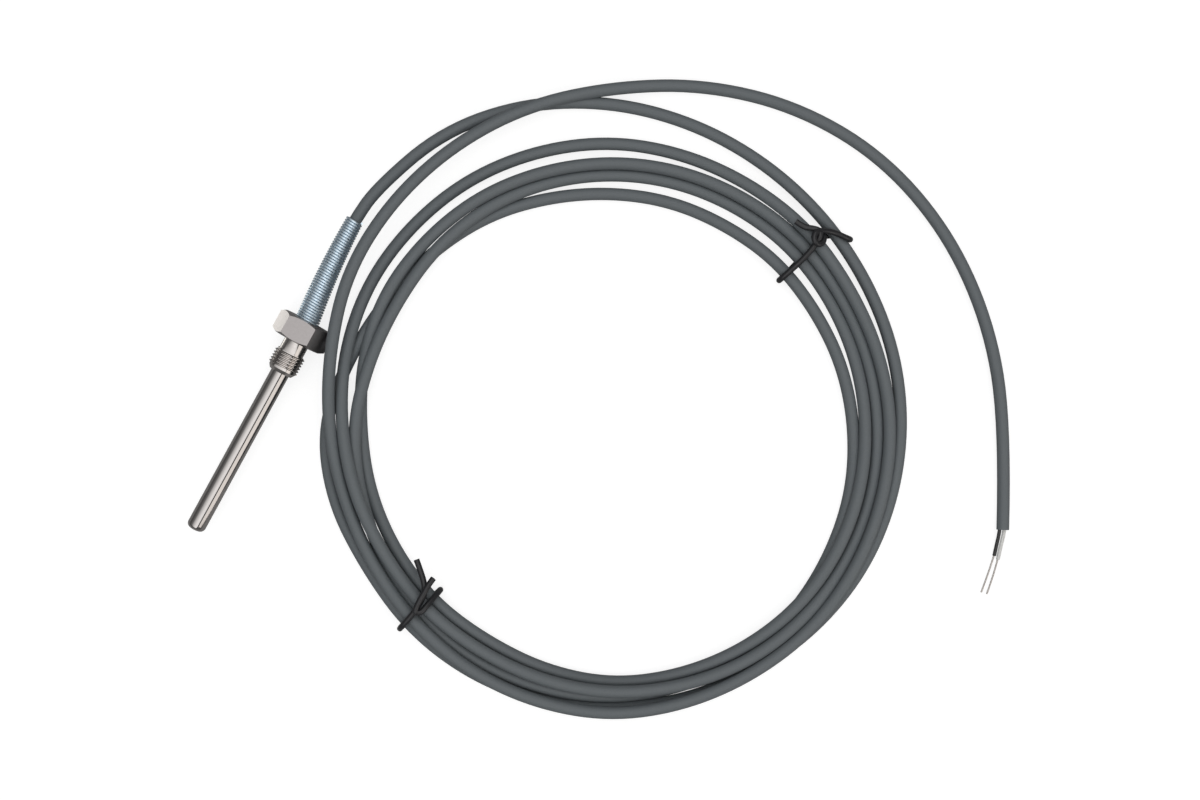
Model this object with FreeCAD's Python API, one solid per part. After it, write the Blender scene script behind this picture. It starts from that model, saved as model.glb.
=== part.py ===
import FreeCAD, Part
import math
import os

# Screw-in temperature sensor with an anti-kink spring and a coiled cable.
# Millimetres. The sensor's axis is Y: the probe's tip points to -Y and the cable leaves to +Y.
# The origin is the centre of the fitting's sealing shoulder. +Z is up, and the hexagon lies on a flat.

Vector = FreeCAD.Vector
ORIGIN = Vector(0, 0, 0)
ALONG = Vector(0, 1, 0)
UP = Vector(0, 0, 1)

# Screw fitting, measured along Y from its sealing shoulder
hex_across_flats = 16.0
hex_length = 7.5
hex_face_diameter = 15.2
hex_chamfer_angle = 30.0
neck_diameter = 8.0
neck_length = 3.8
thread_diameter = 10.0
thread_length = 6.0
nose_diameter = 7.4
nose_length = 1.1
seat_depth = 2.6
seat_clearance = 0.3

# Protection tube
tube_diameter = 6.0
tube_wall = 0.5
tube_reach = 67.5
tube_end_wall = 0.8
tube_end_round = 1.7
tube_inner_bevel = 0.8
glue_groove_depth = 0.2
glue_groove_length = 1.2
rim_diameter = 7.6
rim_thickness = 0.5
slip_clearance = 0.02

# Anti-kink spring, wound from wire whose turns nearly touch
spring_base_diameter = 8.1
spring_length = 37.7
spring_wire = 0.8
spring_gap = 0.08
spring_facets = 12

# Cable
cable_diameter = 4.0
cable_sides = 8
cord_lift = 0.07
jacket_end_y = -10.0
core_diameter = 1.2
core_spacing = 1.9
conductor_diameter = 0.6
ferrule_length = 5.5
ferrule_wall = 0.7

# Sensing end, inside the tube
potting_front_y = -16.0
splice_tip_gap = 26.7
splice_length = 4.0
splice_diameter = 1.0
shrink_diameter = 1.7
shrink_bore = 1.25
shrink_overlap = 3.0
lead_diameter = 0.3
bead_diameter = 3.0
bead_length = 5.0
bead_bevel = 0.9
bead_tip_gap = 1.2
filler_length = 11.0

# Coil of five turns that lies on the surface under the hexagon: an outer and an inner circle
coil_centre = (98.8, 23.0)
coil_outer_radius = 92.0
coil_hollow_centre = (100.4, 20.8)
coil_width = 16.0
coil_layers = 1.85
coil_chamfer = 2.2

# Twist ties of coated wire
tie_wire = 1.4
thin_sides = 6
tie_gap = 0.3
tie_channel = 1.6
tie_top_bevel = 2.5
tie_low_bevel = 1.2
tie_upper_angle = 70.3
tie_lower_angle = 252.5

floor_z = -hex_across_flats / 2
lying_z = floor_z + cable_diameter / 2 + cord_lift
rim_y = hex_length - seat_depth
spring_start_y = rim_y + rim_thickness
mouth_y = spring_start_y + spring_length
spring_mouth_diameter = cable_diameter + 2 * (spring_wire + slip_clearance)
tube_bore = tube_diameter - 2 * tube_wall
tube_inner_end_y = -tube_reach + tube_end_wall
splice_y = tube_inner_end_y + splice_tip_gap
coil_hollow_radius = coil_outer_radius - coil_width
coil_height = coil_layers * cable_diameter
coil_top_z = floor_z + coil_height

# Routes of the cable where it isn't coiled, in the order it runs: x, y and height above where it lies flat
lead_route = [
    (0.0, mouth_y, -lying_z),
    (0.0, mouth_y + 11.0, -lying_z),
    (3.0, 74.0, 2.8),
    (19.0, 98.0, 0.1),
    (51.0, 117.5, 0.0),
    (95.0, 124.0, 0.0),
    (137.0, 113.5, 0.0),
    (167.0, 91.0, 0.0),
    (183.5, 47.0, 0.0),
]
tail_route = [
    (15.4, -9.6, 4.4),
    (10.8, 1.5, 10.2),
    (8.0, 15.0, 10.8),
    (5.8, 32.0, 9.2),
    (5.6, 52.0, 5.8),
    (10.2, 72.0, 4.4),
    (22.0, 92.0, 4.6),
    (47.0, 116.5, 4.6),
    (76.0, 136.0, 1.2),
    (112.0, 146.0, 0.0),
    (153.0, 138.5, 0.0),
    (188.0, 114.0, 0.0),
    (211.0, 86.0, 0.0),
    (225.4, 55.2, 0.0),
]
# Stripped end, past the jacket's cut face: aside of the cable's line, along it, and height
core_white_route = [(-0.7, 0.0, 0.0), (0.1, 5.0, -0.7), (0.5, 9.7, -1.2)]
core_black_route = [(0.8, 0.0, 0.0), (1.5, 4.6, -0.7), (1.8, 8.9, -1.2)]
conductor_white_route = [core_white_route[-1], (1.3, 15.8, -1.5), (3.0, 21.9, -1.6)]
conductor_black_route = [core_black_route[-1], (2.8, 15.0, -1.5), (5.0, 21.1, -1.6)]


def turned(outline):
    """A solid turned about the sensor's axis from (radius, y) corners."""
    corners = [Vector(radius, y, 0) for radius, y in outline]
    face = Part.Face(Part.makePolygon(corners + [corners[0]]))
    return face.revolve(ORIGIN, ALONG, 360)


def rod(diameter, start_y, end_y, x=0.0):
    """A round bar along the sensor's axis, or beside it."""
    return Part.makeCylinder(diameter / 2, end_y - start_y, Vector(x, start_y, 0), ALONG)


def solid_from(faces):
    """One closed solid from faces that meet edge to edge."""
    shell = Part.makeShell(faces)
    shell.sewShape()
    solid = Part.Solid(shell)
    if solid.Volume < 0:
        solid.reverse()
    return solid


def cord_section(place, way, diameter, sides):
    """A many-sided section across a cord, as wide over its flats as the cord.

    It starts with a flat side down. Bends turn it a little, so cords lie cord_lift above the surface.
    """
    aside = way.cross(UP).normalize()
    upward = aside.cross(way)
    reach = diameter / 2 / math.cos(math.pi / sides)
    corners = []
    for k in range(sides + 1):
        angle = 2 * math.pi * (k + 0.5) / sides - math.pi / 2
        corners.append(place + aside * (reach * math.cos(angle)) + upward * (reach * math.sin(angle)))
    return Part.makePolygon(corners)


def cord(name, points, diameter, sides):
    """A cord of straight runs joined by the widest tangent arcs that half of each run allows."""
    points = [Vector(*point) for point in points]
    ways = [(b - a).normalize() for a, b in zip(points, points[1:])]
    runs = [(b - a).Length for a, b in zip(points, points[1:])]
    ring = cord_section(points[0], ways[0], diameter, sides)
    front = Part.Face(ring)
    faces = [front]
    here, length, radii = points[0], 0.0, []
    for i, corner in enumerate(points[1:-1]):
        half_turn = ways[i].getAngle(ways[i + 1]) / 2
        reach = 0.45 * min(runs[i], runs[i + 1])
        radius = reach / math.tan(half_turn)
        axis = ways[i].cross(ways[i + 1]).normalize()
        start = corner - ways[i] * reach
        straight = start - here
        faces += ring.extrude(straight).Faces
        ring = ring.translated(straight)
        centre = start + axis.cross(ways[i]) * radius
        turn = math.degrees(2 * half_turn)
        faces += ring.revolve(centre, axis, turn).Faces
        ring = ring.rotated(centre, axis, turn)
        here = corner + ways[i + 1] * reach
        length += straight.Length + radius * 2 * half_turn
        radii.append(round(radius, 1))
    straight = points[-1] - here
    faces += ring.extrude(straight).Faces
    faces.append(Part.Face(ring.translated(straight)))
    length += straight.Length
    solid = solid_from(faces)
    print(name, "length", round(length, 1), "radii", radii, "volume over section x length",
          round(solid.Volume / front.Area / length, 5))
    return solid


def screw_fitting():
    """Hexagon, neck, thread blank and nose turned from one bar, with a stepped bore."""
    corner_radius = hex_across_flats / math.sqrt(3)
    corners = [Vector(corner_radius * math.cos(math.radians(60 * k)), 0,
                      corner_radius * math.sin(math.radians(60 * k))) for k in range(7)]
    prism = Part.Face(Part.makePolygon(corners)).extrude(ALONG * hex_length)
    drop = (corner_radius - hex_face_diameter / 2) * math.tan(math.radians(hex_chamfer_angle))
    hexagon = prism.common(turned([
        (0, 0), (hex_face_diameter / 2, 0), (corner_radius, drop),
        (corner_radius, hex_length - drop), (hex_face_diameter / 2, hex_length), (0, hex_length)]))
    thread_start = -neck_length - thread_length
    shank = turned([
        (0, 0), (neck_diameter / 2, 0), (neck_diameter / 2, -neck_length),
        (thread_diameter / 2, -neck_length), (thread_diameter / 2, thread_start),
        (nose_diameter / 2, thread_start - nose_length), (0, thread_start - nose_length)])
    bore = rod(tube_diameter + 2 * slip_clearance, thread_start - nose_length, hex_length)
    seat = rod(spring_base_diameter + 2 * seat_clearance, rim_y, hex_length)
    return hexagon.fuse(shank).cut(bore).cut(seat).removeSplitter()


def round_bar(diameter, end_y, round_radius, back_y):
    """A bar on the sensor's axis whose front end has a rounded edge."""
    radius = diameter / 2
    lean = round_radius * (1 - math.sqrt(0.5))
    tip, back = Vector(0, end_y, 0), Vector(0, back_y, 0)
    flat_end = Vector(radius - round_radius, end_y, 0)
    middle = Vector(radius - lean, end_y + lean, 0)
    side_start = Vector(radius, end_y + round_radius, 0)
    side_end = Vector(radius, back_y, 0)
    outline = Part.Wire([
        Part.makeLine(tip, flat_end),
        Part.Arc(flat_end, middle, side_start).toShape(),
        Part.makeLine(side_start, side_end),
        Part.makeLine(side_end, back),
        Part.makeLine(back, tip),
    ])
    return Part.Face(outline).revolve(ORIGIN, ALONG, 360)


def blunt_bar(diameter, end_y, bevel, back_y):
    """A bar on the sensor's axis whose front end has a bevelled edge."""
    return turned([
        (0, end_y), (diameter / 2 - bevel, end_y), (diameter / 2, end_y + bevel),
        (diameter / 2, back_y), (0, back_y)])


def protection_tube():
    """Drawn tube, closed and rounded at the tip, with a rim that sits in the fitting's seat.

    A shallow groove just inside the fitting's nose holds the glue.
    """
    outside = round_bar(tube_diameter, -tube_reach, tube_end_round, rim_y + rim_thickness)
    rim = rod(rim_diameter, rim_y, rim_y + rim_thickness)
    inside = blunt_bar(tube_bore, tube_inner_end_y, tube_inner_bevel, rim_y + rim_thickness)
    nose_y = -neck_length - thread_length - nose_length
    groove = rod(tube_diameter, nose_y, nose_y + glue_groove_length)
    groove = groove.cut(rod(tube_diameter - 2 * glue_groove_depth, nose_y, nose_y + glue_groove_length))
    return outside.fuse(rim).cut(inside).cut(groove).removeSplitter()


def kink_spring():
    """One wire wound in a taper from its wide base to the mouth where it grips the cable.

    The wire's section is a wedge whose edge is the crest of the round wire, so
    that each turn shows as one ridge, and its flat side faces the cable.
    """
    pitch = spring_wire + spring_gap
    turns = int((spring_length - spring_wire) / pitch)
    taper = (spring_base_diameter - spring_mouth_diameter) / 2 / spring_length
    flat_to_corner = 1 / math.cos(math.pi / spring_facets)
    corners, facets = [], []
    for i in range(turns * spring_facets + 1):
        angle = 2 * math.pi * i / spring_facets
        along = spring_wire / 2 + pitch * i / spring_facets
        crest_reach = spring_base_diameter / 2 - taper * along
        low_reach = (crest_reach - spring_wire) * flat_to_corner
        for reach, shift in ((low_reach, -spring_wire / 2), (crest_reach, 0.0), (low_reach, spring_wire / 2)):
            corners.append(Vector(reach * math.cos(angle), spring_start_y + along + shift,
                                  reach * math.sin(angle)))
        if i == 0:
            continue
        for side in range(3):
            new, new_next = 3 * i + side, 3 * i + (side + 1) % 3
            old, old_next = new - 3, new_next - 3
            facets += [(old, old_next, new_next), (old, new_next, new)]
    last = len(corners) - 3
    facets += [(0, 2, 1), (last, last + 1, last + 2)]
    shell = Part.Shape()
    shell.makeShapeFromMesh((corners, facets), 0.001)
    solid = Part.Solid(Part.Shell(shell.Faces))
    if solid.Volume < 0:
        solid.reverse()
    return solid


def core_places():
    """The two cores lie side by side: name and x."""
    return {"white": core_spacing / 2, "black": -core_spacing / 2}


def cable_entry():
    """The jacketed cable from its stripped end in the tube to the spring's mouth."""
    return rod(cable_diameter, jacket_end_y, mouth_y)


def cable_ferrule():
    """Crimped sleeve on the jacket, inside the spring's wide end, resting on the tube's rim."""
    bore = cable_diameter + 2 * slip_clearance
    start = rim_y + rim_thickness
    sleeve = rod(bore + 2 * ferrule_wall, start, start + ferrule_length)
    return sleeve.cut(rod(bore, start, start + ferrule_length))


def potting_plug():
    """Resin that fills the tube round the jacket's end and the start of the cores."""
    plug = rod(tube_bore, potting_front_y, rim_y + rim_thickness)
    plug = plug.cut(rod(cable_diameter, jacket_end_y, rim_y + rim_thickness))
    for x in core_places().values():
        plug = plug.cut(rod(core_diameter, potting_front_y, jacket_end_y, x))
    return plug


def splice(x):
    """Crimped barrel round the core's conductor at one end and the thin lead at the other."""
    end = splice_y - splice_length
    middle = (splice_y + end) / 2
    barrel = rod(splice_diameter, end, splice_y, x)
    return barrel.cut(rod(lead_diameter, end, middle, x))


def shrink_sleeve(x):
    """Insulating sleeve that overlaps the core and covers the splice."""
    start = splice_y - splice_length - shrink_overlap
    end = splice_y + shrink_overlap
    return rod(shrink_diameter, start, end, x).cut(rod(shrink_bore, start, end, x))


def sensing_bead():
    """Coated bead with a bevelled front end, a short way behind the tube's end wall."""
    front = tube_inner_end_y + bead_tip_gap
    bead = blunt_bar(bead_diameter, front, bead_bevel, front + bead_length)
    for x in core_places().values():
        bead = bead.cut(rod(lead_diameter, front + bead_length / 2, front + bead_length, x))
    return bead


def lead_wire(x):
    """Thin lead from the bead into the splice."""
    bead_back = tube_inner_end_y + bead_tip_gap + bead_length
    return rod(lead_diameter, bead_back - bead_length / 2, splice_y - splice_length / 2, x)


def tip_filler():
    """Heat-conducting filling between the bead and the tube's closed end."""
    filler = blunt_bar(tube_bore, tube_inner_end_y, tube_inner_bevel, tube_inner_end_y + filler_length)
    filler = filler.cut(sensing_bead())
    for x in core_places().values():
        filler = filler.cut(lead_wire(x))
    return filler


def coil_inner_reach(angle):
    """Distance from the coil's centre to its inner edge, at an angle in degrees."""
    way = Vector(math.cos(math.radians(angle)), math.sin(math.radians(angle)), 0)
    shift = Vector(coil_hollow_centre[0] - coil_centre[0], coil_hollow_centre[1] - coil_centre[1], 0)
    return way.dot(shift) + math.sqrt(coil_hollow_radius ** 2 - way.cross(shift).Length ** 2)


def coil_place(angle, reach, aside, z):
    """A point near the coil: at a distance from its centre along an angle, a little aside of it."""
    outward = Vector(math.cos(math.radians(angle)), math.sin(math.radians(angle)), 0)
    place = Vector(*coil_centre, 0) + outward * reach + UP.cross(outward) * aside
    return (place.x, place.y, z)


def cable_coil():
    """The outer shape of five loose turns, with a channel under it for each tie's wire."""
    disc = Part.makeCylinder(coil_outer_radius, coil_height, Vector(*coil_centre, floor_z))
    hollow = Part.makeCylinder(coil_hollow_radius, coil_height, Vector(*coil_hollow_centre, floor_z))
    ring = disc.cut(hollow)
    rims = [edge for edge in ring.Edges if isinstance(edge.Curve, Part.Circle)]
    ring = ring.makeChamfer(coil_chamfer, rims)
    width = tie_wire + 2 * tie_gap
    for angle in (tie_upper_angle, tie_lower_angle):
        channel = Part.makeBox(2 * coil_outer_radius, width, tie_channel, Vector(0, -width / 2, 0))
        channel.rotate(ORIGIN, UP, angle)
        channel.translate(Vector(*coil_centre, floor_z))
        ring = ring.cut(channel)
    return ring


def tie_loop(angle):
    """Corners of a tie's loop as (reach, z), from the outer side under the coil to the inner side."""
    outer = coil_outer_radius + tie_gap + tie_wire / 2
    inner = coil_inner_reach(angle) - tie_gap - tie_wire / 2
    low = floor_z + tie_wire / 2 + cord_lift
    high = coil_top_z + tie_gap + tie_wire / 2
    return outer, inner, low, high


def bent_wire(angle, path):
    """A tie's wire with mitred bends, through corners given near the coil as reach, aside and z."""
    points = [Vector(*coil_place(angle, *place)) for place in path]
    section = cord_section(points[0], (points[1] - points[0]).normalize(), tie_wire, thin_sides)
    return Part.makePolygon(points).makePipeShell([section], True, False, 1)


def tie_upper():
    """A tie with its crossing at the coil's outer side, one tail over the cable beside it."""
    outer, inner, low, high = tie_loop(tie_upper_angle)
    beside = 0.6 * tie_wire
    return bent_wire(tie_upper_angle, [
        (outer + 5.4, -4.6, lying_z + cable_diameter / 2 + tie_wire),
        (outer + 0.4, -beside, high - 1.6),
        (outer - tie_top_bevel, -beside, high),
        (inner + tie_top_bevel, -0.3, high),
        (inner, -0.2, high - tie_top_bevel),
        (inner, 0.0, low + tie_low_bevel),
        (inner + tie_low_bevel, 0.0, low),
        (outer - tie_low_bevel, 0.0, low),
        (outer, 0.0, low + tie_low_bevel),
        (outer + 0.3, beside, high - tie_top_bevel),
        (outer - 1.8, beside + 1.6, high + 0.4),
        (outer - 4.6, 5.2, high + 0.6),
    ])


def tie_lower():
    """A tie with its crossing on top of the coil and both tails over the coil's inner edge."""
    outer, inner, low, high = tie_loop(tie_lower_angle)
    beside = 0.6 * tie_wire
    middle = (outer + inner) / 2
    return bent_wire(tie_lower_angle, [
        (inner - 2.2, -11.6, high - 0.6),
        (middle - 1.0, -beside, high + 0.4),
        (outer - tie_top_bevel, -beside, high),
        (outer, -0.4, high - tie_top_bevel),
        (outer, 0.0, low + tie_low_bevel),
        (outer - tie_low_bevel, 0.0, low),
        (inner + tie_low_bevel, 0.0, low),
        (inner, 0.0, low + tie_low_bevel),
        (inner, 0.4, high - tie_top_bevel),
        (inner + tie_top_bevel, beside, high),
        (middle + 0.6, beside, high + 0.5),
        (middle + 0.9, beside + 1.8, high + 1.0),
        (inner - 1.8, 5.4, high + 1.2),
    ])


def cable_stretch(name, route):
    """One uncoiled stretch of the cable."""
    places = [(x, y, lying_z + height) for x, y, height in route]
    return cord(name, places, cable_diameter, cable_sides)


def stripped_piece(name, route, diameter):
    """A core or conductor past the jacket's cut: aside of the cable's line, along it, and height."""
    end, before = Vector(*tail_route[-1]), Vector(*tail_route[-2])
    onward = (end - before).normalize()
    aside = onward.cross(UP)
    places = []
    for across, along, height in route:
        place = end + onward * along + aside * across
        places.append((place.x, place.y, lying_z + height))
    return cord(name, places, diameter, thin_sides)


def all_parts():
    """Every sub-part by name."""
    parts = {
        "screw_fitting": screw_fitting(),
        "protection_tube": protection_tube(),
        "kink_spring": kink_spring(),
        "cable_entry": cable_entry(),
        "cable_ferrule": cable_ferrule(),
        "potting_plug": potting_plug(),
        "thermistor_bead": sensing_bead(),
        "tip_filler": tip_filler(),
        "cable_lead": cable_stretch("cable_lead", lead_route),
        "cable_coil": cable_coil(),
        "cable_tail": cable_stretch("cable_tail", tail_route),
        "core_white_end": stripped_piece("core_white_end", core_white_route, core_diameter),
        "core_black_end": stripped_piece("core_black_end", core_black_route, core_diameter),
        "conductor_white_end": stripped_piece("conductor_white_end", conductor_white_route,
                                              conductor_diameter),
        "conductor_black_end": stripped_piece("conductor_black_end", conductor_black_route,
                                              conductor_diameter),
        "tie_upper": tie_upper(),
        "tie_lower": tie_lower(),
    }
    for colour, x in core_places().items():
        parts["core_%s_inner" % colour] = rod(core_diameter, splice_y, jacket_end_y, x)
        parts["splice_%s" % colour] = splice(x)
        parts["shrink_%s" % colour] = shrink_sleeve(x)
        parts["lead_%s" % colour] = lead_wire(x)
    return parts


os.makedirs("parts", exist_ok=True)
for name, shape in all_parts().items():
    print(name, "solids", len(shape.Solids), "valid", shape.isValid(), "volume", round(shape.Volume, 2))
    shape.exportStep("parts/%s.step" % name)
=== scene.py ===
# %% [markdown]
# # A screw-in temperature sensor and its coiled cable
# The sensor is a closed metal tube in a hexagonal fitting. A spring keeps its cable from kinking,
# and the cable lies in loose turns that two twist ties hold. The solids come from the CAD frame,
# and this lesson gives them their finished surfaces. Everything is in metres.

# %% Load the frame
import math
import bpy
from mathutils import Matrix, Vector


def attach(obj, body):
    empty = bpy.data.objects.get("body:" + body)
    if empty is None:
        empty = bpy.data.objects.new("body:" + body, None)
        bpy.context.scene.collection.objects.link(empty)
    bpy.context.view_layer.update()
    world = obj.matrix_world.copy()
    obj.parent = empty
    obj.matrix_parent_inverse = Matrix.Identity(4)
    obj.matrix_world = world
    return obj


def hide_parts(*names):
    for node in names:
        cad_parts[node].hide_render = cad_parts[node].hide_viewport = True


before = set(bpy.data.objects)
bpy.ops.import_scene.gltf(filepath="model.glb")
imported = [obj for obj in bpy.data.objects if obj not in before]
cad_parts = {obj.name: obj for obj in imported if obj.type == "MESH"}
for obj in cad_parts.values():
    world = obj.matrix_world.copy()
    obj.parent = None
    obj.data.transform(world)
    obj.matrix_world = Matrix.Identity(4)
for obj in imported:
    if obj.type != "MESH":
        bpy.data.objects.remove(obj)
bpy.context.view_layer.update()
MM = 0.001

# %% [markdown]
# ## The camera
# The sensor was photographed from straight above, with its axis leaning to the right. A camera
# with no tilt looks down, so only its place, its turn about the vertical and its lens are set.

# %% Camera
floor_z = -8.0 * MM
camera_height = 550.0 * MM
camera_turn = 28.69
camera_lens = 51.36
bpy.ops.object.camera_add(location=(93.0 * MM, 30.0 * MM, floor_z + camera_height),
                          rotation=(0, 0, math.radians(camera_turn)))
camera = bpy.context.active_object
camera.data.sensor_width = 36.0
camera.data.lens = camera_lens
camera.data.clip_start = 0.01
bpy.context.scene.camera = camera
print("camera", [round(v, 4) for v in camera.location])

# %% [markdown]
# ## Shader sums
# A surface is a few sums over textures. Writing them as nodes one by one hides the sum, so one
# small class lets Python's own signs add the Math nodes, and another adds any other node.

# %% Values and finishes
class Value:
    """An output of a node, on which Python's signs build Math nodes."""

    def __init__(self, finish, socket):
        self.finish = finish
        self.socket = socket

    def math(self, operation, *values):
        return self.finish.node("ShaderNodeMath", {"operation": operation}, dict(enumerate(values)))

    def __add__(self, other):
        return self.math("ADD", self, other)

    def __sub__(self, other):
        return self.math("SUBTRACT", self, other)

    def __rsub__(self, other):
        return self.math("SUBTRACT", other, self)

    def __mul__(self, other):
        return self.math("MULTIPLY", self, other)

    __radd__ = __add__
    __rmul__ = __mul__


class Finish:
    """A surface finish in the making: its shader, and one method that adds any node."""

    def __init__(self, name, sockets):
        self.material = bpy.data.materials.new(name)
        self.material.use_nodes = True
        self.tree = self.material.node_tree
        self.shader = self.tree.nodes["Principled BSDF"]
        self.feed(self.shader, sockets)

    def feed(self, node, sockets):
        for key, value in sockets.items():
            if isinstance(value, Value):
                self.tree.links.new(value.socket, node.inputs[key])
            else:
                node.inputs[key].default_value = value

    def node(self, kind, settings, sockets, output=0):
        node = self.tree.nodes.new(kind)
        for key, value in settings.items():
            setattr(node, key, value)
        self.feed(node, sockets)
        return Value(self, node.outputs[output])

    def place(self, scales=(1.0, 1.0, 1.0)):
        """Object coordinates, stretched by a scale on each axis."""
        place = self.node("ShaderNodeTexCoord", {}, {}, "Object")
        return self.node("ShaderNodeMapping", {}, {"Vector": place, "Scale": scales})

    def noise(self, size, scales=(1.0, 1.0, 1.0), detail=3.0):
        """A random value from 0 to 1 whose spots are about size metres wide."""
        return self.node("ShaderNodeTexNoise", {}, {
            "Vector": self.place(scales), "Scale": 1 / size, "Detail": detail}, "Fac")

    def between(self, factor, first, second):
        """A colour between two colours."""
        return self.node("ShaderNodeMix", {"data_type": "RGBA"}, {0: factor, 6: first, 7: second}, 2)

    def bump(self, height, strength, distance):
        return self.node("ShaderNodeBump", {}, {
            "Height": height, "Strength": strength, "Distance": distance}, "Normal")


def put_on(finish, *pieces):
    """Give pieces one finish."""
    for piece in pieces:
        piece.data.materials.clear()
        piece.data.materials.append(finish.material)


print("shader helpers ready")

# %% [markdown]
# ## The floor and the light
# Product pictures are often taken on a white sheet under large soft panels. The sheet shows
# itself to the camera brighter than it is, so it reads as white and keeps its shadows, while
# polished metal mirrors a darker sheet, which gives it dark edges.

# %% Sheet and world
bpy.ops.mesh.primitive_plane_add(size=16.0, location=(0.1, 0.03, floor_z))
sheet = bpy.context.active_object
sheet.name = "white_sheet"
paper = Finish("paper", {"Base Color": (0.35, 0.35, 0.35, 1), "Roughness": 0.9})
seen = paper.node("ShaderNodeLightPath", {}, {}, "Is Camera Ray")
paper.feed(paper.shader, {"Emission Color": (1, 1, 1, 1), "Emission Strength": 0.80 * seen})
put_on(paper, sheet)
world = bpy.data.worlds.new("studio")
bpy.context.scene.world = world
world.use_nodes = True
world.node_tree.nodes["Background"].inputs["Color"].default_value = (0.13, 0.13, 0.13, 1)
bpy.context.scene.view_settings.view_transform = "Standard"
print("sheet at", round(floor_z, 4))

# %% [markdown]
# ## The panels
# Round metal shows what stands beside it as stripes. One wide panel overhead, which fades to
# the left, makes the tube's broad highlight. A warmer panel to the right makes its second
# stripe, and the gap between the two panels is the thin dark line between the stripes.

# %% Panels
fade_from, fade_to = -0.9, 0.08


def panel(name, corner, far_corner, depth, colour, strength, faded=1.0):
    """A glowing panel along Y between two (x, z) edges, which may fade towards -X."""
    (x0, z0), (x1, z1) = corner, far_corner
    bpy.ops.mesh.primitive_plane_add(size=1.0)
    piece = bpy.context.active_object
    piece.name = name
    width = math.hypot(x1 - x0, z1 - z0)
    piece.scale = (width, depth, 1)
    piece.rotation_euler = (0, -math.atan2(z1 - z0, x1 - x0), 0)
    piece.location = ((x0 + x1) / 2, 0.0, (z0 + z1) / 2)
    bpy.ops.object.transform_apply(location=True, rotation=True, scale=True)
    glow = Finish(name + "_glow", {"Base Color": (0, 0, 0, 1), "Emission Strength": strength})
    across = glow.node("ShaderNodeSeparateXYZ", {}, {0: glow.place()}, "X")
    level = glow.node("ShaderNodeMapRange", {}, {
        "Value": across, "From Min": fade_from, "From Max": fade_to, "To Min": faded})
    glow.feed(glow.shader, {"Emission Color": glow.between(level, (0, 0, 0, 1), (*colour, 1))})
    put_on(glow, piece)
    return piece


panel("overhead_panel", (-1.5, 0.9), (0.46, 0.9), 3.4, (1.0, 1.0, 1.0), 1.4, faded=0.15)
panel("right_panel", (0.79, 0.9), (1.5, 0.12), 0.8, (1.0, 0.96, 0.92), 1.35)

# %% [markdown]
# ## The small card
# A white card lies on the sheet beside the hexagon. It brightens the facet that leans to the
# left, which would otherwise mirror the dark sheet. A lamp would do it too, but a card lights
# only what lies close to it.

# %% Card
bpy.ops.mesh.primitive_plane_add(size=1.0, location=(-21.5 * MM, 4.0 * MM, floor_z + 0.1 * MM))
card = bpy.context.active_object
card.name = "white_card"
card.scale = (16.0 * MM, 18.0 * MM, 1)
bpy.ops.object.transform_apply(location=True, rotation=True, scale=True)
put_on(Finish("card_white", {"Base Color": (0, 0, 0, 1), "Emission Color": (1, 1, 0.96, 1),
                             "Emission Strength": 1.8}), card)
print("card", card.name)

# %% [markdown]
# ## The cable's path
# The cable leaves the fitting through the spring, runs along the outside of the coil, makes five
# loose turns and ends in a long tail. It could be drawn by hand as one long curve. Seen from above,
# though, each stretch is a distance from the coil's centre at a clock angle, so stations of angle
# and distance are easier to change. The path is read at even steps of the clock between them.

# %% Stations and strands
cable_radius = 2.0 * MM
lying_z = floor_z + cable_radius
coil_centre = Vector((100.2 * MM, 24.8 * MM, 0))
clock_start = 118.7
step = 15
stations = [
    (-45, 105.0), (-30, 107.0), (-15, 105.6), (0, 102.6), (15, 99.3), (30, 96.4), (45, 94.0),
    (60, 93.0), (90, 92.4), (120, 92.0), (150, 90.4), (180, 90.4), (210, 90.9), (240, 90.1),
    (255, 92.0), (270, 91.9), (285, 86.0), (300, 81.9), (315, 79.2), (330, 77.3), (345, 75.0),
    (360, 73.8), (390, 73.1), (420, 74.1), (450, 77.0), (465, 79.0), (480, 80.7), (495, 83.0),
    (510, 85.4), (525, 86.2), (540, 86.6), (555, 86.8), (570, 86.9), (600, 84.4), (615, 82.8),
    (630, 81.8), (645, 79.3), (660, 78.3), (675, 78.9), (690, 79.6), (705, 79.9), (720, 79.9),
    (735, 79.9), (750, 79.9), (780, 80.1), (795, 80.4), (810, 80.8), (825, 81.3), (840, 81.9),
    (855, 82.2), (870, 82.2), (900, 82.3), (915, 80.8), (930, 79.4), (960, 79.7), (990, 80.0),
    (1005, 81.8), (1020, 83.0), (1035, 83.2), (1050, 83.4), (1065, 83.4), (1080, 83.5), (1110, 83.5),
    (1140, 83.7), (1155, 84.4), (1170, 84.9), (1185, 85.7), (1200, 86.2), (1215, 86.2), (1230, 86.2),
    (1245, 85.4), (1260, 84.6), (1290, 82.8), (1320, 82.7), (1335, 83.8), (1350, 85.4), (1365, 87.6),
    (1380, 89.5), (1410, 90.5), (1440, 90.1), (1470, 88.0), (1500, 86.6), (1530, 88.7), (1545, 89.0),
    (1560, 89.6), (1575, 90.2), (1590, 90.3), (1620, 91.6), (1650, 89.8), (1665, 88.2), (1680, 87.6),
    (1695, 87.8), (1710, 89.4), (1725, 91.3), (1740, 95.3), (1755, 98.2), (1770, 101.2), (1800, 107.0),
    (1830, 116.8), (1845, 120.8), (1860, 122.8), (1875, 123.9), (1890, 124.9), (1905, 128.4),
]
clocks = list(range(stations[0][0], stations[-1][0] + 1, step))


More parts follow.
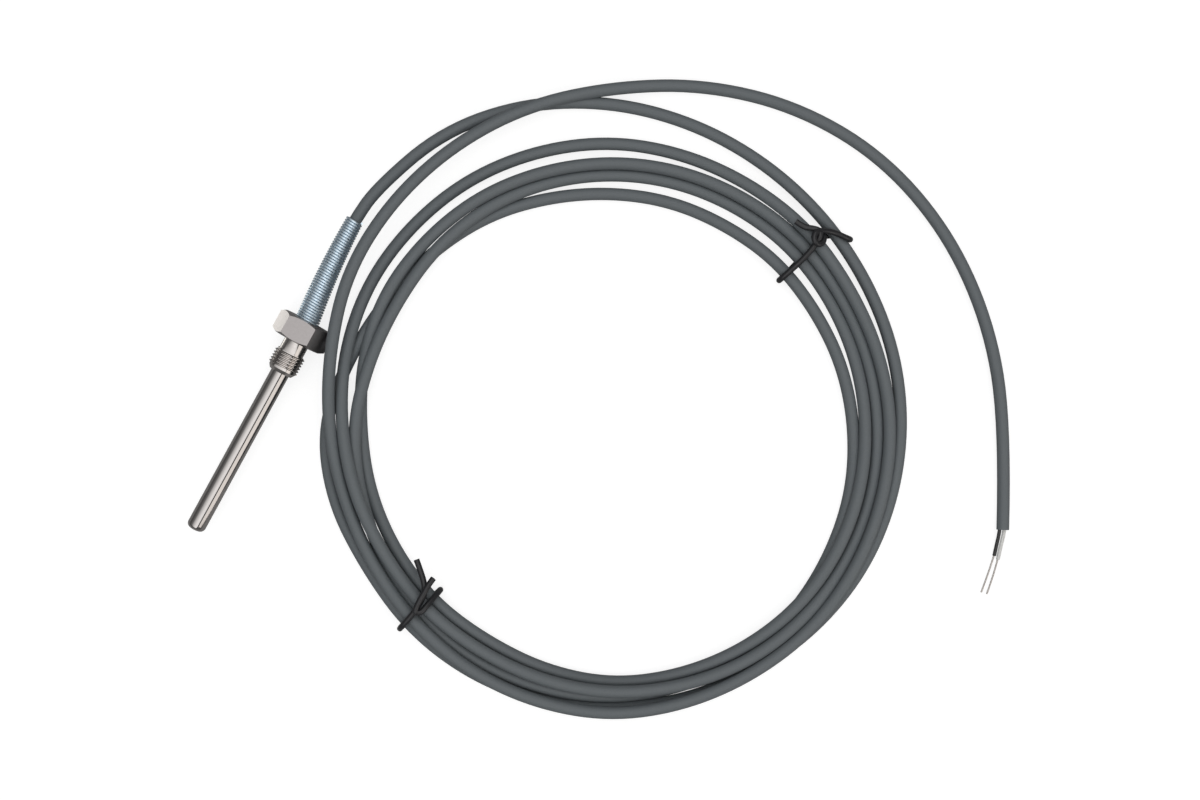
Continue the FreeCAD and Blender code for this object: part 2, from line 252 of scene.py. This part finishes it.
def reach_at(clock):
    """Distance from the coil's centre, between the two stations beside a clock angle."""
    for (before, near), (after, far) in zip(stations, stations[1:]):
        if before <= clock <= after:
            share = (clock - before) / (after - before)
            return (near + (far - near) * share) * MM
    return stations[-1][1] * MM


def polar(clock, reach, z):
    """A point at a clock angle and distance from the coil's centre."""
    angle = math.radians(clock_start - clock)
    return coil_centre + Vector((reach * math.cos(angle), reach * math.sin(angle), z))


reaches = [reach_at(clock) for clock in clocks]
print("strand stations", len(stations), "points", len(clocks))

# %% [markdown]
# ## How the turns lie on each other
# A cable that is laid down turn by turn rests on the sheet or on the turns below it. A physics
# run could find its heights. Here each point starts on the sheet, on a tie's wire, or at a given
# height in millimetres on the way down from the spring and over the side of the fitting. It is
# lifted where an earlier turn at the same clock angle is in its way, which gives the same result
# each time. Only points at the same angle are compared, and crossing turns still sink into each
# other, by up to 1.2 mm.

# %% Settle the strands on each other
held_heights = {-45: -1.0, -30: -3.2, -15: -5.2, 1725: 3.6, 1740: 4.8, 1755: 2.6}
tie_clocks = (45, 225)
last_tied_clock = 1700
tie_lift = 1.9 * MM
sag = 1.0 * MM
settling_sweeps = 60
heights = []
for clock in clocks:
    height = lying_z
    if clock in held_heights:
        height = held_heights[clock] * MM
    if clock % 360 in tie_clocks and clock <= last_tied_clock:
        height = lying_z + tie_lift
    heights.append(height)


def lies_over(later, earlier):
    """Whether the later of two strands lies on the earlier one, which it does but in one place."""
    crossing = 250 <= clocks[later] % 360 <= 310
    return not (crossing and clocks[earlier] // 360 == 1 and clocks[later] // 360 == 2)


turn_points = 360 // step
for sweep in range(settling_sweeps):
    for earlier in range(len(clocks)):
        for later in range(earlier + turn_points, len(clocks), turn_points):
            apart = abs(reaches[later] - reaches[earlier])
            if apart < 2 * cable_radius:
                lift = math.sqrt(4 * cable_radius ** 2 - apart ** 2)
                upper, lower = (later, earlier) if lies_over(later, earlier) else (earlier, later)
                heights[upper] = max(heights[upper], heights[lower] + lift)
    for i in range(1, len(clocks) - 1):
        heights[i] = max(heights[i], (heights[i - 1] + heights[i + 1]) / 2 - sag)
print("highest strand", round(max(heights) / MM, 2), "mm above the sensor's axis")

# %% [markdown]
# ## The cable
# A drawn plastic jacket has no seams, so one NURBS curve with a round bevel is the whole cable.
# A swept mesh could make it too, but a curve is changed by its points alone. Those are the path's
# points. A curve of this order touches the middle of each leg between two points, so the turns'
# points stand out by the cosine of half a step.

# %% Cable curve
spring_start, spring_end = 5.4 * MM, 43.1 * MM
spring_lean = -2.4 * MM


def spring_axis(y):
    """Sideways place of the spring's centre line, which the cable's weight has bent a little."""
    share = min(max((y - spring_start) / (spring_end - spring_start), 0.0), 1.0)
    return spring_lean * (1 - (1 - share) ** 2)


def smooth_curve(name, points, radius, rings=6, detail=8):
    """A round cord along control points, which carry its radius so that its box is measured right."""
    data = bpy.data.curves.new(name, "CURVE")
    data.dimensions = "3D"
    data.bevel_depth = 1.0 if radius > 0 else 0.0
    data.bevel_resolution = rings
    data.resolution_u = detail
    data.use_fill_caps = True
    spline = data.splines.new("NURBS")
    spline.points.add(len(points) - 1)
    for point, place in zip(spline.points, points):
        point.co = (*place, 1.0)
        point.radius = radius
    spline.order_u = 3
    spline.use_endpoint_u = True
    piece = bpy.data.objects.new(name, data)
    bpy.context.scene.collection.objects.link(piece)
    return piece


entry_stops = [-10.0, 3.0, 9.0, 17.0, 25.0, 33.0, 42.0]
route = [Vector((spring_axis(y * MM), y * MM, 0)) for y in entry_stops]
stand_out = 1 / math.cos(math.radians(step / 2))
for clock, reach, height in zip(clocks, reaches, heights):
    route.append(polar(clock, reach * stand_out, height))
cable = smooth_curve("cable", route, cable_radius, rings=8)
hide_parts("cable_entry", "cable_lead", "cable_coil", "cable_tail")
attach(cable, "root")
print("cable points", len(route))

# %% [markdown]
# ## The anti-kink spring
# It is one round wire, wound with nearly touching turns in a taper that grips the cable at its
# mouth. A screw modifier makes a straight helix only, so a loop places the helix's points on a
# centre line that bends with the cable.

# %% Spring
wire_radius = 0.4 * MM
spring_pitch = 0.88 * MM
base_reach, mouth_reach = 3.65 * MM, 2.42 * MM
points_per_turn = 24
spring_turns = 42
coils = []
for i in range(spring_turns * points_per_turn + 1):
    angle = 2 * math.pi * i / points_per_turn
    y = spring_start + wire_radius + spring_pitch * i / points_per_turn
    share = (y - spring_start) / (spring_end - spring_start)
    reach = (base_reach + (mouth_reach - base_reach) * share) / math.cos(math.pi / points_per_turn)
    coils.append(Vector((spring_axis(y) + reach * math.cos(angle), y, reach * math.sin(angle))))
spring = smooth_curve("anti_kink_spring", coils, wire_radius, rings=3, detail=2)
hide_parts("kink_spring")
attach(spring, "root")
print("spring wire length", round(sum((b - a).length for a, b in zip(coils, coils[1:])), 3), "m")

# %% [markdown]
# ## Turned parts
# The fitting and the tube are made on a lathe. In Blender that is a circle which is extruded
# along the axis and resized ring by ring, as the tool moves. Each ring is a radius and a place.

# %% Lathe helper
def deselect_all():
    """Nothing stays selected, so that an operator acts on the new piece only."""
    bpy.ops.object.select_all(action="DESELECT")


def turned(name, rings, sides=96):
    """A solid turned about the sensor's axis through (radius, y) rings in millimetres."""
    deselect_all()
    radius, y = rings[0]
    bpy.ops.mesh.primitive_circle_add(vertices=sides, radius=radius * MM, fill_type="NGON",
                                      location=(0, y * MM, 0), rotation=(math.radians(90), 0, 0))
    piece = bpy.context.active_object
    piece.name = name
    bpy.ops.object.transform_apply(location=True, rotation=True, scale=True)
    bpy.ops.object.mode_set(mode="EDIT")
    for (old_radius, old_y), (radius, y) in zip(rings, rings[1:]):
        bpy.ops.mesh.extrude_region_move(TRANSFORM_OT_translate={"value": (0, (y - old_y) * MM, 0)})
        ratio = radius / old_radius
        bpy.ops.transform.resize(value=(ratio, 1, ratio), center_override=(0, y * MM, 0))
    bpy.ops.mesh.select_all(action="SELECT")
    bpy.ops.mesh.normals_make_consistent(inside=False)
    bpy.ops.object.mode_set(mode="OBJECT")
    return piece


def cut_with(piece, tool, operation):
    """Combine a piece with a tool body, which is then removed."""
    deselect_all()
    piece.select_set(True)
    bpy.context.view_layer.objects.active = piece
    modifier = piece.modifiers.new(operation.lower(), "BOOLEAN")
    modifier.object = tool
    modifier.operation = operation
    modifier.solver = "EXACT"
    bpy.ops.object.modifier_apply(modifier=modifier.name)
    bpy.data.objects.remove(tool)


def soften_edges(piece, width, corner=25.0):
    """Round the sharp edges a little, as a deburred part has them, and shade the rest smooth."""
    deselect_all()
    piece.select_set(True)
    bpy.context.view_layer.objects.active = piece
    modifier = piece.modifiers.new("edges", "BEVEL")
    modifier.width = width * MM
    modifier.segments = 2
    modifier.limit_method = "ANGLE"
    modifier.angle_limit = math.radians(corner)
    bpy.ops.object.modifier_apply(modifier=modifier.name)
    bpy.ops.object.shade_smooth_by_angle(angle=math.radians(corner))


print("lathe helper ready")

# %% [markdown]
# ## The screw fitting
# A hexagonal bar is chamfered at both ends on the lathe, which rounds its corners. Here a
# six-sided cylinder is intersected with a turned double cone. The neck, the thread's core and
# the nose are turned and joined to it, and the seat for the spring is bored from behind.

# %% Hexagon, neck and nose
hex_across, hex_length, face_radius = 16.0, 7.5, 7.6
corner_radius = hex_across / math.sqrt(3)
chamfer = (corner_radius - face_radius) * math.tan(math.radians(30))
thread_root, thread_crest = 4.42, 5.0
neck_end, thread_end, nose_end = -3.8, -9.8, -10.9
edge_round = 0.12
deselect_all()
bpy.ops.mesh.primitive_cylinder_add(vertices=6, radius=corner_radius * MM, depth=hex_length * MM,
                                    location=(0, hex_length / 2 * MM, 0),
                                    rotation=(math.radians(90), math.radians(30), 0))
fitting = bpy.context.active_object
fitting.name = "fitting"
bpy.ops.object.transform_apply(location=True, rotation=True, scale=True)
corners = {(round(v.co.x / MM, 2), round(v.co.z / MM, 2)) for v in fitting.data.vertices}
print("hexagon corners", sorted(corners))
cut_with(fitting, turned("chamfer_cone", [
    (face_radius, 0), (corner_radius + 0.1, chamfer), (corner_radius + 0.1, hex_length - chamfer),
    (face_radius, hex_length)], sides=192), "INTERSECT")
cut_with(fitting, turned("shank", [
    (3.9, 1.0), (4.0, 0), (4.0, neck_end), (thread_root, neck_end), (thread_root + 0.05, thread_end),
    (3.7, nose_end)]), "UNION")
cut_with(fitting, turned("spring_seat", [(4.35, 4.9), (4.35, hex_length + 1)]), "DIFFERENCE")
soften_edges(fitting, edge_round)
print("fitting faces", len(fitting.data.polygons))

# %% [markdown]
# ## The thread
# The real thread is cut or rolled into the bar, which leaves a ridge wound on a core. Cutting it
# with a Boolean would be slow and brittle, so the ridge is made instead: a small trapezium is its
# section, a screw modifier winds it, and its two ends are pressed into the core so that it runs out.

# %% Thread ridge
thread_pitch, thread_turns, winding_steps = 1.0, 5.4, 64
ridge_sunk = 0.1
ridge_height = thread_crest - thread_root + ridge_sunk
ridge_y = thread_end + 0.45
root_share, crest_share = 0.94, 0.16
run_out = 0.86
deselect_all()
bpy.ops.mesh.primitive_plane_add(size=1.0, location=(0, 0, 0))
thread = bpy.context.active_object
thread.name = "thread"
thread.scale = (ridge_height * MM, thread_pitch * root_share * MM, 1)
thread.location = ((thread_crest - ridge_height / 2) * MM, ridge_y * MM, 0)
bpy.ops.object.transform_apply(location=True, rotation=True, scale=True)
for vertex in thread.data.vertices:
    vertex.select = vertex.co.x > (thread_crest - 0.1) * MM
for edge in thread.data.edges:
    edge.select = all(thread.data.vertices[k].select for k in edge.vertices)
for face in thread.data.polygons:
    face.select = False
bpy.ops.object.mode_set(mode="EDIT")
bpy.ops.transform.resize(value=(1, crest_share, 1), center_override=(thread_crest * MM, ridge_y * MM, 0))
bpy.ops.mesh.select_all(action="SELECT")
bpy.ops.mesh.delete(type="ONLY_FACE")
bpy.ops.object.mode_set(mode="OBJECT")
winding = thread.modifiers.new("winding", "SCREW")
winding.axis = "Y"
winding.angle = 2 * math.pi * thread_turns
winding.screw_offset = thread_pitch * thread_turns * MM
winding.steps = winding.render_steps = int(winding_steps * thread_turns)
bpy.ops.object.modifier_apply(modifier="winding")
bpy.ops.object.mode_set(mode="EDIT")
bpy.ops.mesh.select_all(action="DESELECT")
bpy.ops.mesh.select_non_manifold()
bpy.ops.transform.resize(value=(run_out, 1, run_out), center_override=(0, 0, 0))
bpy.ops.mesh.fill_holes(sides=4)
bpy.ops.mesh.select_all(action="SELECT")
bpy.ops.mesh.normals_make_consistent(inside=False)
bpy.ops.object.mode_set(mode="OBJECT")
bpy.ops.object.shade_smooth_by_angle(angle=math.radians(40))
along = [v.co.y / MM for v in thread.data.vertices]
print("thread vertices", len(along), "y", round(min(along), 2), round(max(along), 2))
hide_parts("screw_fitting")
for piece in (fitting, thread):
    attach(piece, "root")

# %% [markdown]
# ## The protection tube
# It is drawn tube, closed at the tip with a tight radius. A cylinder with a bevelled end would do,
# but a turned body has its rounded front and its rear rim in one outline. Only its outside shows,
# and its rear ends in the fitting.

# %% Tube
tube_radius, tip_y, end_round = 3.0, -67.5, 1.7
tip = [(0.3, tip_y), (tube_radius - end_round, tip_y)]
for k in range(1, 9):
    turn = math.radians(90 * k / 8)
    tip.append((tube_radius - end_round + end_round * math.sin(turn),
                tip_y + end_round * (1 - math.cos(turn))))
rim_radius, rim_front, rim_back = 3.8, 4.9, 5.4
rear = [(tube_radius, rim_front), (rim_radius, rim_front), (rim_radius, rim_back), (2.5, rim_back)]
tube = turned("tube", tip + [(tube_radius, -30.0)] + rear)
soften_edges(tube, 0.05)
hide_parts("protection_tube")
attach(tube, "root")
print("tube faces", len(tube.data.polygons))

# %% [markdown]
# ## The twist ties
# Each tie is a plastic-coated wire that goes once round the turns and is crossed on top. A ring
# would be too neat for a wire that was bent by hand, so each is a cord through free points. They
# are given beside the coil: distance from the centre, offset along the turns, and height.

# %% Ties
tie_radius = 0.95 * MM


def tie(name, clock, path):
    """A tie's wire, from (reach, aside, z) points in millimetres at a clock angle."""
    angle = math.radians(clock_start - clock)
    outward = Vector((math.cos(angle), math.sin(angle), 0))
    aside = Vector((-math.sin(angle), math.cos(angle), 0))
    points = [coil_centre + outward * reach * MM + aside * side * MM + Vector((0, 0, z * MM))
              for reach, side, z in path]
    return smooth_curve(name, points, tie_radius, rings=4, detail=10)


upper_tie = tie("upper_tie", 48.4, [
    (86.1, 9.6, 1.9), (86.6, 6.7, 2.3), (88.6, 4.4, 2.6), (89.9, 2.3, 2.6), (88.2, 0.7, 2.6),
    (84.1, -0.3, 1.6), (80.0, -0.8, 0.6), (75.9, -0.9, -0.6), (72.6, -0.9, -1.4), (70.6, -0.9, -3.0),
    (70.6, -0.9, -5.6), (72.3, -0.9, -7.05), (80.0, -0.5, -7.05), (89.6, 1.0, -7.05), (93.6, -1.6, -7.05),
    (96.1, -5.9, -6.5),
    (96.3, -6.4, -4.0), (95.0, -4.6, -1.7), (93.6, -1.5, -1.2), (91.4, 1.2, 0.8), (88.9, 3.0, 3.4),
    (86.6, 2.4, 4.4), (85.8, -0.2, 3.8), (87.4, -1.1, 2.4), (89.2, -0.6, 1.2), (90.2, 0.8, 0.0)])
lower_tie = tie("lower_tie", 226.2, [
    (74.0, -12.2, 0.8), (75.5, -8.7, 1.2), (77.2, -5.2, 1.4), (79.2, -2.8, 1.6), (82.0, -1.6, 2.0),
    (85.8, -0.7, 2.2), (89.4, -0.3, 2.2), (92.2, -0.2, 0.8), (93.6, 0.0, -2.4), (93.6, 0.0, -5.6),
    (92.2, 0.0, -7.05), (86.0, -0.4, -7.05), (78.0, 0.0, -7.05), (76.1, 0.0, -6.2), (75.8, 0.0, -3.8),
    (76.6, 0.1, -1.4), (79.0, 0.3, 0.8), (81.7, 0.6, 2.8), (84.2, 0.9, 3.6), (85.6, -0.6, 4.2),
    (82.2, -2.1, 4.4), (78.8, -3.0, 3.8), (76.7, -3.8, 3.0), (74.1, -4.2, 2.0)])
for piece, node in ((upper_tie, "tie_upper"), (lower_tie, "tie_lower")):
    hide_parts(node)
    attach(piece, "root")
print("ties", upper_tie.name, lower_tie.name)

# %% [markdown]
# ## The stripped end
# Two insulated cores come out of the jacket, one white and one black. They could be straight
# cylinders, but stripped cores spread and droop, so each is a short cord. Its points are given from
# the jacket's end: aside of the cable's line, along it, and height.

# %% Cores
jacket_end = route[-1]
onward = (route[-1] - route[-2]).normalized()
aside = onward.cross(Vector((0, 0, 1)))


def stripped(path):
    """Points past the jacket's end."""
    return [jacket_end + aside * across * MM + onward * along * MM + Vector((0, 0, height * MM))
            for across, along, height in path]


core_radius = 0.6 * MM
white_core = smooth_curve("white_core", stripped([
    (-0.6, -1.0, 0.0), (-0.4, 1.5, -0.2), (0.3, 5.0, -0.7), (1.0, 9.7, -1.4)]), core_radius)
black_core = smooth_curve("black_core", stripped([
    (0.9, -1.0, 0.0), (1.1, 1.5, -0.2), (1.6, 4.6, -0.8), (2.2, 8.5, -1.4)]), core_radius)
print("cores", white_core.name, black_core.name, "from", [round(v / MM, 1) for v in jacket_end])

# %% [markdown]
# ## The bare strands
# Past its insulation each core shows a few millimetres of tinned copper, as thin strands that are
# laid round each other. One thick wire would look solid. So a guide line is made along each
# conductor, and every strand is a thin cord on a helix round it.

# %% Conductors
def strands(name, path, reach, strand_radius, count=6, lay=7.0):
    """Bare strands wound round a conductor's line."""
    line = stripped(path)
    guide = smooth_curve(name, line, 0.0, detail=16)
    mesh = bpy.data.meshes.new_from_object(guide)
    places = [vertex.co.copy() for vertex in mesh.vertices]
    bpy.data.objects.remove(guide)
    data = bpy.data.curves.new(name, "CURVE")
    data.dimensions = "3D"
    data.bevel_depth = 1.0
    data.bevel_resolution = 2
    data.use_fill_caps = True
    for k in range(count):
        spline = data.splines.new("POLY")
        spline.points.add(len(places) - 1)
        travelled = 0.0
        for i, place in enumerate(places):
            if i:
                travelled += (place - places[i - 1]).length
            way = (places[min(i + 1, len(places) - 1)] - places[max(i - 1, 0)]).normalized()
            sideways = way.cross(Vector((0, 0, 1))).normalized()
            upward = sideways.cross(way)
            turn = 2 * math.pi * (k / count + travelled / (lay * MM))
            spot = place + sideways * reach * math.cos(turn) + upward * reach * math.sin(turn)
            spline.points[i].co = (*spot, 1.0)
            spline.points[i].radius = strand_radius
    piece = bpy.data.objects.new(name, data)
    bpy.context.scene.collection.objects.link(piece)
    return piece


bundle_reach, bare_radius = 0.2 * MM, 0.1 * MM
white_wire = strands("white_conductor", [(1.0, 9.4, -1.35), (2.3, 15.3, -1.6), (4.2, 20.9, -1.7)],
                     bundle_reach, bare_radius)
black_wire = strands("black_conductor", [(2.2, 8.2, -1.35), (3.9, 14.4, -1.6), (6.0, 20.4, -1.7)],
                     bundle_reach, bare_radius)
for piece, node, slot in ((white_core, "core_white_end", "core_white"),
                          (black_core, "core_black_end", "core_black"),
                          (white_wire, "conductor_white_end", "tinned_copper"),
                          (black_wire, "conductor_black_end", "tinned_copper")):
    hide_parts(node)
    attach(piece, "root")
print("conductors", white_wire.name, black_wire.name)

# %% [markdown]
# ## The cable's shape
# A cable bends, so its shape here is only one way that it can lie. This cell prints its name and its
# number of points.

# %% Cord
print("cord", cable.name, "with", len(route), "points")

# %% [markdown]
# ## The steel of the fitting and the tube
# Bare metal is mostly what it mirrors, so its finish is a colour, a roughness and a little noise.
# A picture could hold the tool's marks, but noise that varies along Y only gives the lathe's rings
# at any size. The hexagon lies outside the turned surfaces, so a radius tells the two apart.

# %% Fitting and tube steel
milled_from = 5.6 * MM
fitting_finish = Finish("turned_steel", {"Metallic": 1.0})
spot = fitting_finish.place()
x = fitting_finish.node("ShaderNodeSeparateXYZ", {}, {0: spot}, "X")
z = fitting_finish.node("ShaderNodeSeparateXYZ", {}, {0: spot}, "Z")
reach_squared = x * x + z * z
milled = reach_squared.math("GREATER_THAN", reach_squared, milled_from ** 2)
rings = fitting_finish.noise(0.12 * MM, scales=(0.02, 1.0, 0.02), detail=4.0)
tone = fitting_finish.noise(0.8 * MM)
turned_tone = fitting_finish.between(tone, (0.52, 0.49, 0.47, 1), (0.60, 0.57, 0.55, 1))
milled_tone = fitting_finish.between(tone, (0.37, 0.345, 0.34, 1), (0.43, 0.405, 0.40, 1))
fitting_finish.feed(fitting_finish.shader, {
    "Base Color": fitting_finish.between(milled, turned_tone, milled_tone),
    "Roughness": 0.14 + 0.10 * rings + 0.12 * milled,
    "Normal": fitting_finish.bump(rings, 0.2, 0.01 * MM)})
tube_finish = Finish("drawn_steel", {"Metallic": 1.0})
lines = tube_finish.noise(0.2 * MM, scales=(0.05, 1.0, 0.05), detail=4.0)
patches = tube_finish.noise(8.0 * MM)
tube_finish.feed(tube_finish.shader, {
    "Base Color": tube_finish.between(patches, (0.48, 0.455, 0.44, 1), (0.54, 0.515, 0.50, 1)),
    "Roughness": 0.05 + 0.06 * lines,
    "Normal": tube_finish.bump(lines, 0.05, 0.01 * MM)})
put_on(fitting_finish, fitting, thread)
put_on(tube_finish, tube)
print("steel finishes on 3 pieces")

# %% [markdown]
# ## The spring's wire and the tinned strands
# Drawn wire is satin and not mirror-bright, and here it looks bluish beside the warmer steel. It
# needs no pattern, because its turns already make one, so noise only varies colour and roughness.

# %% Wire finishes
spring_finish = Finish("spring_steel", {"Metallic": 1.0})
drawn = spring_finish.noise(0.3 * MM)
spring_finish.feed(spring_finish.shader, {
    "Base Color": spring_finish.between(drawn, (0.74, 0.88, 1.0, 1), (0.84, 0.94, 1.0, 1)),
    "Roughness": 0.40 + 0.10 * drawn})
tinned_finish = Finish("tinned_strands", {"Metallic": 1.0})
dull = tinned_finish.noise(0.2 * MM)
tinned_finish.feed(tinned_finish.shader, {
    "Base Color": tinned_finish.between(dull, (0.62, 0.58, 0.54, 1), (0.75, 0.72, 0.70, 1)),
    "Roughness": 0.3 + 0.2 * dull})
put_on(spring_finish, spring)
put_on(tinned_finish, white_wire, black_wire)
print("wire finishes on 3 pieces")

# %% [markdown]
# ## The plastics
# The jacket, the coating of the ties and the insulation of the cores are extruded plastic, dull and
# even. A plain colour would look like paint, so each has a fine grain in its colour, roughness
# and height. They differ in values only, so one helper makes them all.

# %% Plastic finishes
def plastic(name, dark, light, grain, roughness, bump):
    """A moulded or extruded plastic with a fine grain."""
    finish = Finish(name, {})
    spots = finish.noise(grain * MM, detail=5.0)
    finish.feed(finish.shader, {
        "Base Color": finish.between(spots, (*dark, 1), (*light, 1)),
        "Roughness": roughness + 0.12 * spots,
        "Normal": finish.bump(spots, bump, 0.02 * MM)})
    return finish


put_on(plastic("grey_jacket", (0.122, 0.138, 0.148), (0.154, 0.172, 0.182), 0.5, 0.55, 0.2), cable)
put_on(plastic("black_coating", (0.012, 0.012, 0.014), (0.025, 0.025, 0.028), 0.4, 0.3, 0.1),
       upper_tie, lower_tie)
put_on(plastic("white_insulation", (0.70, 0.70, 0.68), (0.82, 0.82, 0.80), 0.4, 0.4, 0.1), white_core)
put_on(plastic("black_insulation", (0.02, 0.02, 0.02), (0.04, 0.04, 0.04), 0.4, 0.4, 0.1), black_core)
print("plastic finishes on 5 pieces")

# %% [markdown]
# ## Inside the sensor
# The pieces that the tube hides keep their solids from the frame. Each gets a plain grained finish
# in the colour of its real material, so that the sensor is whole when it is opened.

# %% Hidden pieces
hidden = {
    "cable_ferrule": (0.70, 0.70, 0.70), "potting_plug": (0.05, 0.05, 0.05),
    "thermistor_bead": (0.03, 0.03, 0.03), "tip_filler": (0.75, 0.75, 0.72),
    "core_white_inner": (0.75, 0.75, 0.72), "core_black_inner": (0.03, 0.03, 0.03),
    "splice_white": (0.60, 0.45, 0.20), "splice_black": (0.60, 0.45, 0.20),
    "shrink_white": (0.03, 0.03, 0.03), "shrink_black": (0.03, 0.03, 0.03),
    "lead_white": (0.65, 0.63, 0.60), "lead_black": (0.65, 0.63, 0.60),
}
for node, colour in hidden.items():
    lighter = tuple(1.15 * part for part in colour)
    finish = plastic(node + "_finish", colour, lighter, 0.5, 0.4, 0.1)
    for slot in bpy.data.objects[node].material_slots:
        slot.material = finish.material
print("hidden pieces", len(hidden))
